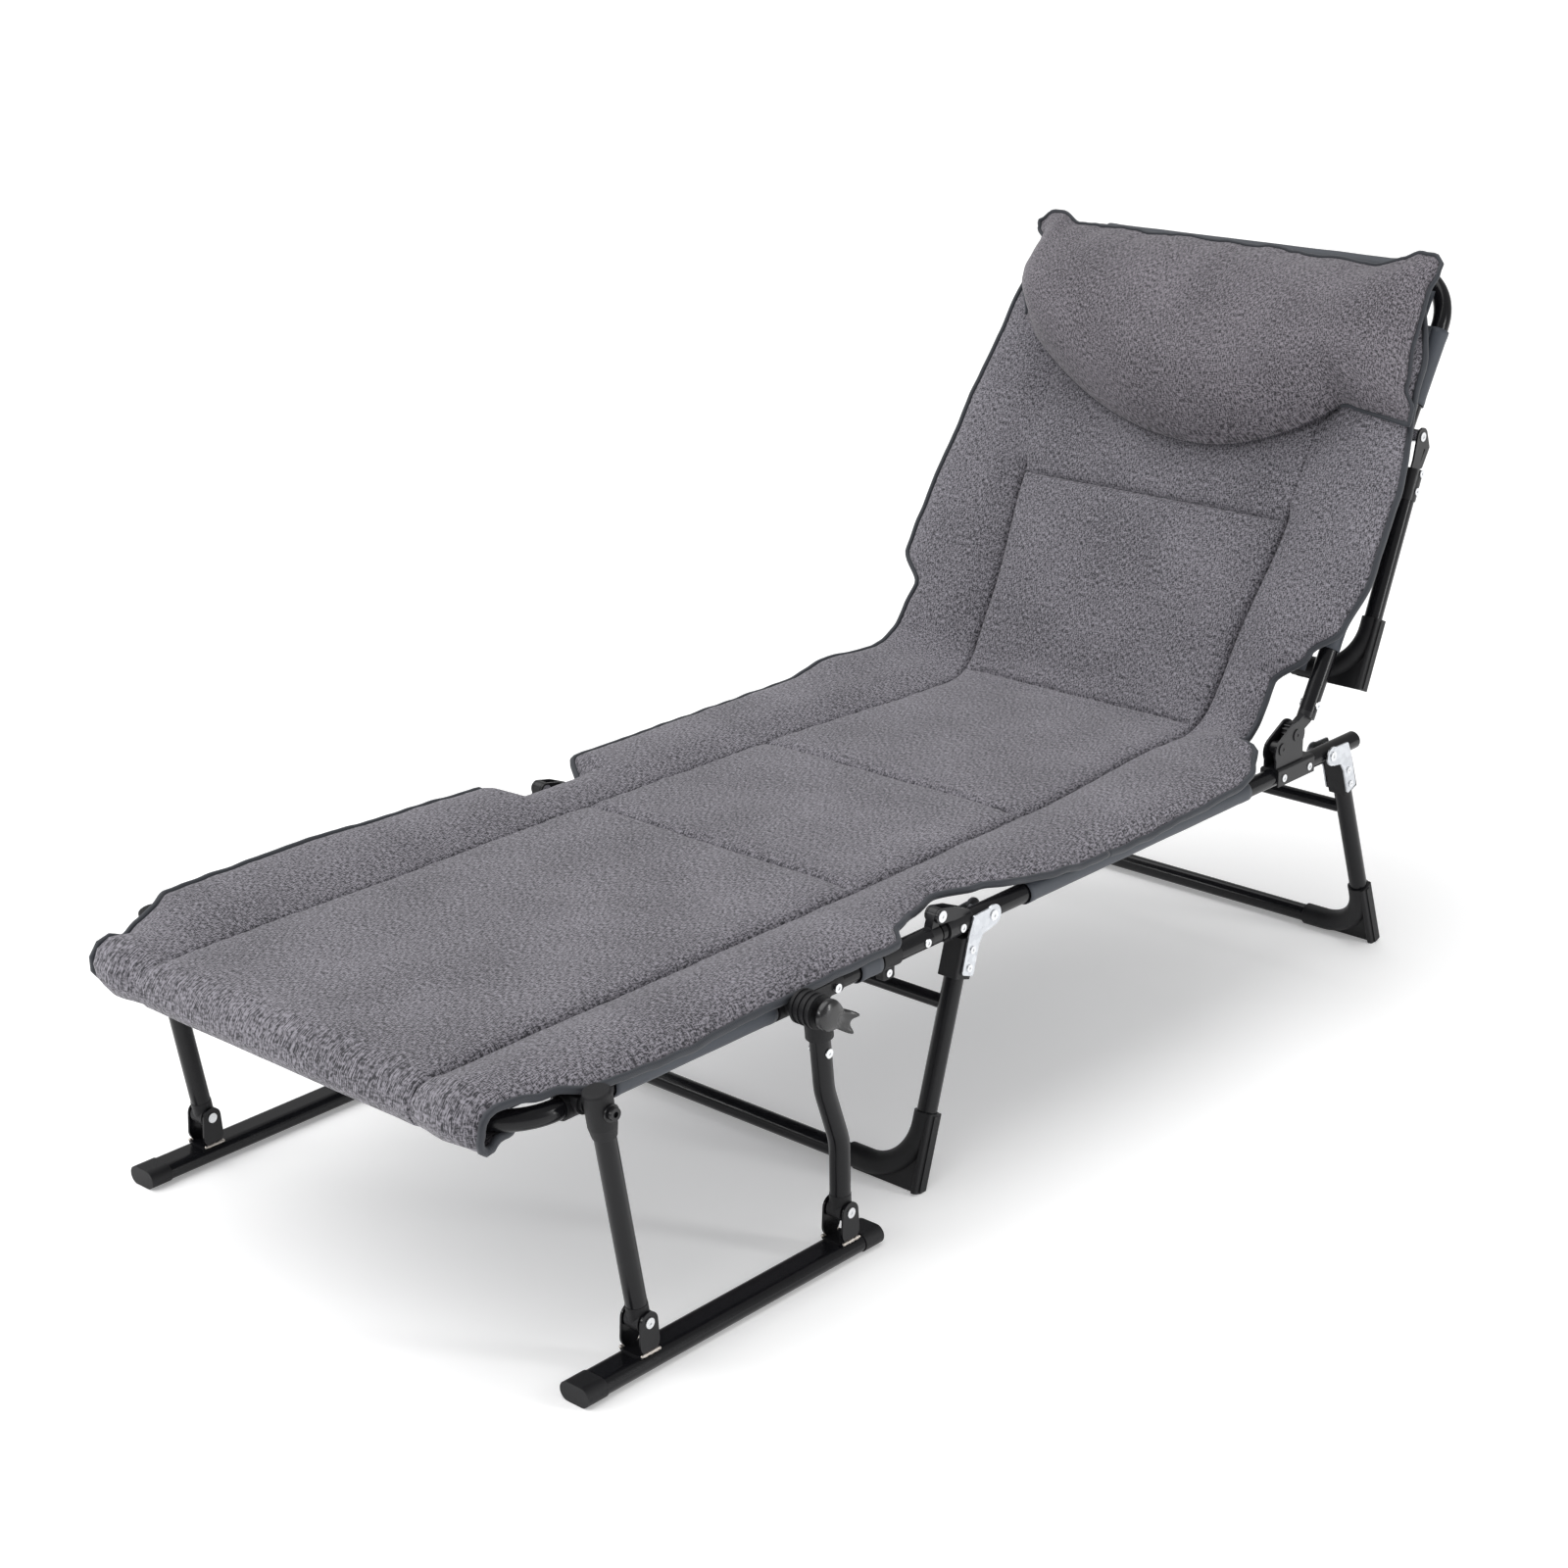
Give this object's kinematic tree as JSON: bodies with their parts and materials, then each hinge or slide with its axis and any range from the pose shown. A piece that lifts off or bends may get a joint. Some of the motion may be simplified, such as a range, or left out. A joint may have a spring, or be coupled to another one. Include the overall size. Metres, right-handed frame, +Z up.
{
  "type": "folding lounge chair",
  "caption": "Low folding lounge chair with a quilted mattress, head pillow, reclining back, folding U legs and skids under the foot end.",
  "frame": {"origin": "on the floor under the middle of the chair as it stands with its back raised", "axes": "+X to the sitter's left, +Y from the foot end to the head end, +Z up"},
  "size_m": [0.736, 1.6322, 0.8884],
  "materials": {
    "black_tube": "satin powder coat",
    "black_steel_fittings": "semi-gloss black coat on pressed steel",
    "black_plastic": "fine moulded texture",
    "bright_steel": "zinc plated, bright",
    "zinc_plate": "galvanised, faint spangle",
    "mattress_fabric": "heather grey plain weave",
    "pillow_fabric": "heather grey plain weave",
    "sling_fabric": "dark slate coated cloth"
  },
  "bodies": {
    "seat_frame": {"seat_rail_left": "black_tube", "seat_rail_right": "black_tube", "seat_hinge_brackets": "black_steel_fittings", "hinge_pins": "bright_steel", "seat_rivets": "bright_steel", "leg_pivot_rivets": "bright_steel", "ratchet_channels": "black_steel_fittings", "ratchet_cheeks": "black_steel_fittings", "ratchet_rivets": "black_steel_fittings", "ratchet_pawls": "black_steel_fittings", "seat_sling": "sling_fabric", "seat_pad": "mattress_fabric"},
    "foot_section": {"foot_frame": "black_tube", "foot_hinge_tongues": "black_steel_fittings", "foot_fasteners": "bright_steel", "front_post_sockets": "black_plastic", "front_post_bolts": "black_steel_fittings", "rear_post_brackets": "black_plastic", "rail_clips": "black_plastic", "foot_sling": "sling_fabric", "foot_pad": "mattress_fabric"},
    "backrest": {"back_frame": "black_tube", "ratchet_arms": "black_steel_fittings", "back_frame_rivets": "bright_steel", "back_sling": "sling_fabric", "back_pad": "mattress_fabric", "pillow": "pillow_fabric"},
    "centre_leg": {"centre_leg_boots": "black_plastic", "centre_leg_frame": "black_tube", "centre_leg_plates": "zinc_plate", "centre_leg_rivets": "bright_steel", "centre_leg_sleeves": "black_plastic"},
    "rear_leg": {"rear_leg_boots": "black_plastic", "rear_leg_frame": "black_tube", "rear_leg_plates": "zinc_plate", "rear_leg_rivets": "bright_steel", "rear_leg_sleeves": "black_plastic"},
    "back_leg": {"back_leg_boots": "black_plastic", "back_leg_frame": "black_tube", "back_leg_holders": "black_steel_fittings", "back_leg_rivets": "bright_steel"},
    "front_post_left": {"front_post_tube_left": "black_tube", "front_post_fittings_left": "black_plastic"},
    "rear_post_left": {"rear_post_tube_left": "black_tube", "rear_post_fittings_left": "black_plastic", "rear_post_rivet_left": "bright_steel"},
    "skid_left": {"skid_left": "black_tube", "skid_caps_left": "black_plastic", "skid_rivets_left": "bright_steel"},
    "wing_knob_left": {"wing_knob_left": "black_plastic"},
    "front_post_right": {"front_post_tube_right": "black_tube", "front_post_fittings_right": "black_plastic"},
    "rear_post_right": {"rear_post_tube_right": "black_tube", "rear_post_fittings_right": "black_plastic", "rear_post_rivet_right": "bright_steel"},
    "skid_right": {"skid_right": "black_tube", "skid_caps_right": "black_plastic", "skid_rivets_right": "bright_steel"},
    "wing_knob_right": {"wing_knob_right": "black_plastic"}
  },
  "joints": [
    {"name": "foot_section_fold", "type": "hinge", "parent": "seat_frame", "child": "foot_section", "pos_m": [0, -0.182, 0.306], "axis": [-1, 0, 0], "range_deg": [0, 150]},
    {"name": "backrest_recline", "type": "hinge", "parent": "seat_frame", "child": "backrest", "pos_m": [0, 0.4804, 0.33], "axis": [-1, 0, 0], "range_deg": [-105, 30]},
    {"name": "centre_leg_fold", "type": "hinge", "parent": "seat_frame", "child": "centre_leg", "pos_m": [0, -0.104, 0.285], "axis": [1, 0, 0], "range_deg": [0, 104]},
    {"name": "rear_leg_fold", "type": "hinge", "parent": "seat_frame", "child": "rear_leg", "pos_m": [0, 0.553, 0.285], "axis": [-1, 0, 0], "range_deg": [0, 104]},
    {"name": "back_leg_fold", "type": "hinge", "parent": "backrest", "child": "back_leg", "pos_m": [0, 0.69982, 0.65479], "axis": [1, 0, 0], "range_deg": [0, 97]},
    {"name": "foot_leg_fold_left", "type": "hinge", "parent": "foot_section", "child": "front_post_left", "pos_m": [0.337, -0.7089, 0.2905], "axis": [1, 0, 0], "range_deg": [0, 80]},
    {"name": "rear_post_fold_left", "type": "hinge", "parent": "foot_section", "child": "rear_post_left", "pos_m": [0.337, -0.4186, 0.2905], "axis": [1, 0, 0], "range_deg": [0, 80]},
    {"name": "skid_level_left", "type": "hinge", "parent": "front_post_left", "child": "skid_left", "pos_m": [0.337, -0.6689, 0.054], "axis": [1, 0, 0], "range_deg": [-80, 0]},
    {"name": "wing_knob_turn_left", "type": "hinge", "parent": "foot_section", "child": "wing_knob_left", "pos_m": [0.337, -0.4186, 0.2905], "axis": [1, 0, 0], "continuous": true},
    {"name": "foot_leg_fold_right", "type": "hinge", "parent": "foot_section", "child": "front_post_right", "pos_m": [-0.337, -0.7089, 0.2905], "axis": [1, 0, 0], "range_deg": [0, 80]},
    {"name": "rear_post_fold_right", "type": "hinge", "parent": "foot_section", "child": "rear_post_right", "pos_m": [-0.337, -0.4186, 0.2905], "axis": [1, 0, 0], "range_deg": [0, 80]},
    {"name": "skid_level_right", "type": "hinge", "parent": "front_post_right", "child": "skid_right", "pos_m": [-0.337, -0.6689, 0.054], "axis": [1, 0, 0], "range_deg": [-80, 0]},
    {"name": "wing_knob_turn_right", "type": "hinge", "parent": "foot_section", "child": "wing_knob_right", "pos_m": [-0.337, -0.4186, 0.2905], "axis": [1, 0, 0], "continuous": true}
  ],
  "couplings": [
    {"joint": "rear_post_fold_left", "follows": "foot_leg_fold_left", "ratio": 1},
    {"joint": "skid_level_left", "follows": "foot_leg_fold_left", "ratio": -1},
    {"joint": "rear_post_fold_right", "follows": "foot_leg_fold_right", "ratio": 1},
    {"joint": "skid_level_right", "follows": "foot_leg_fold_right", "ratio": -1}
  ]
}
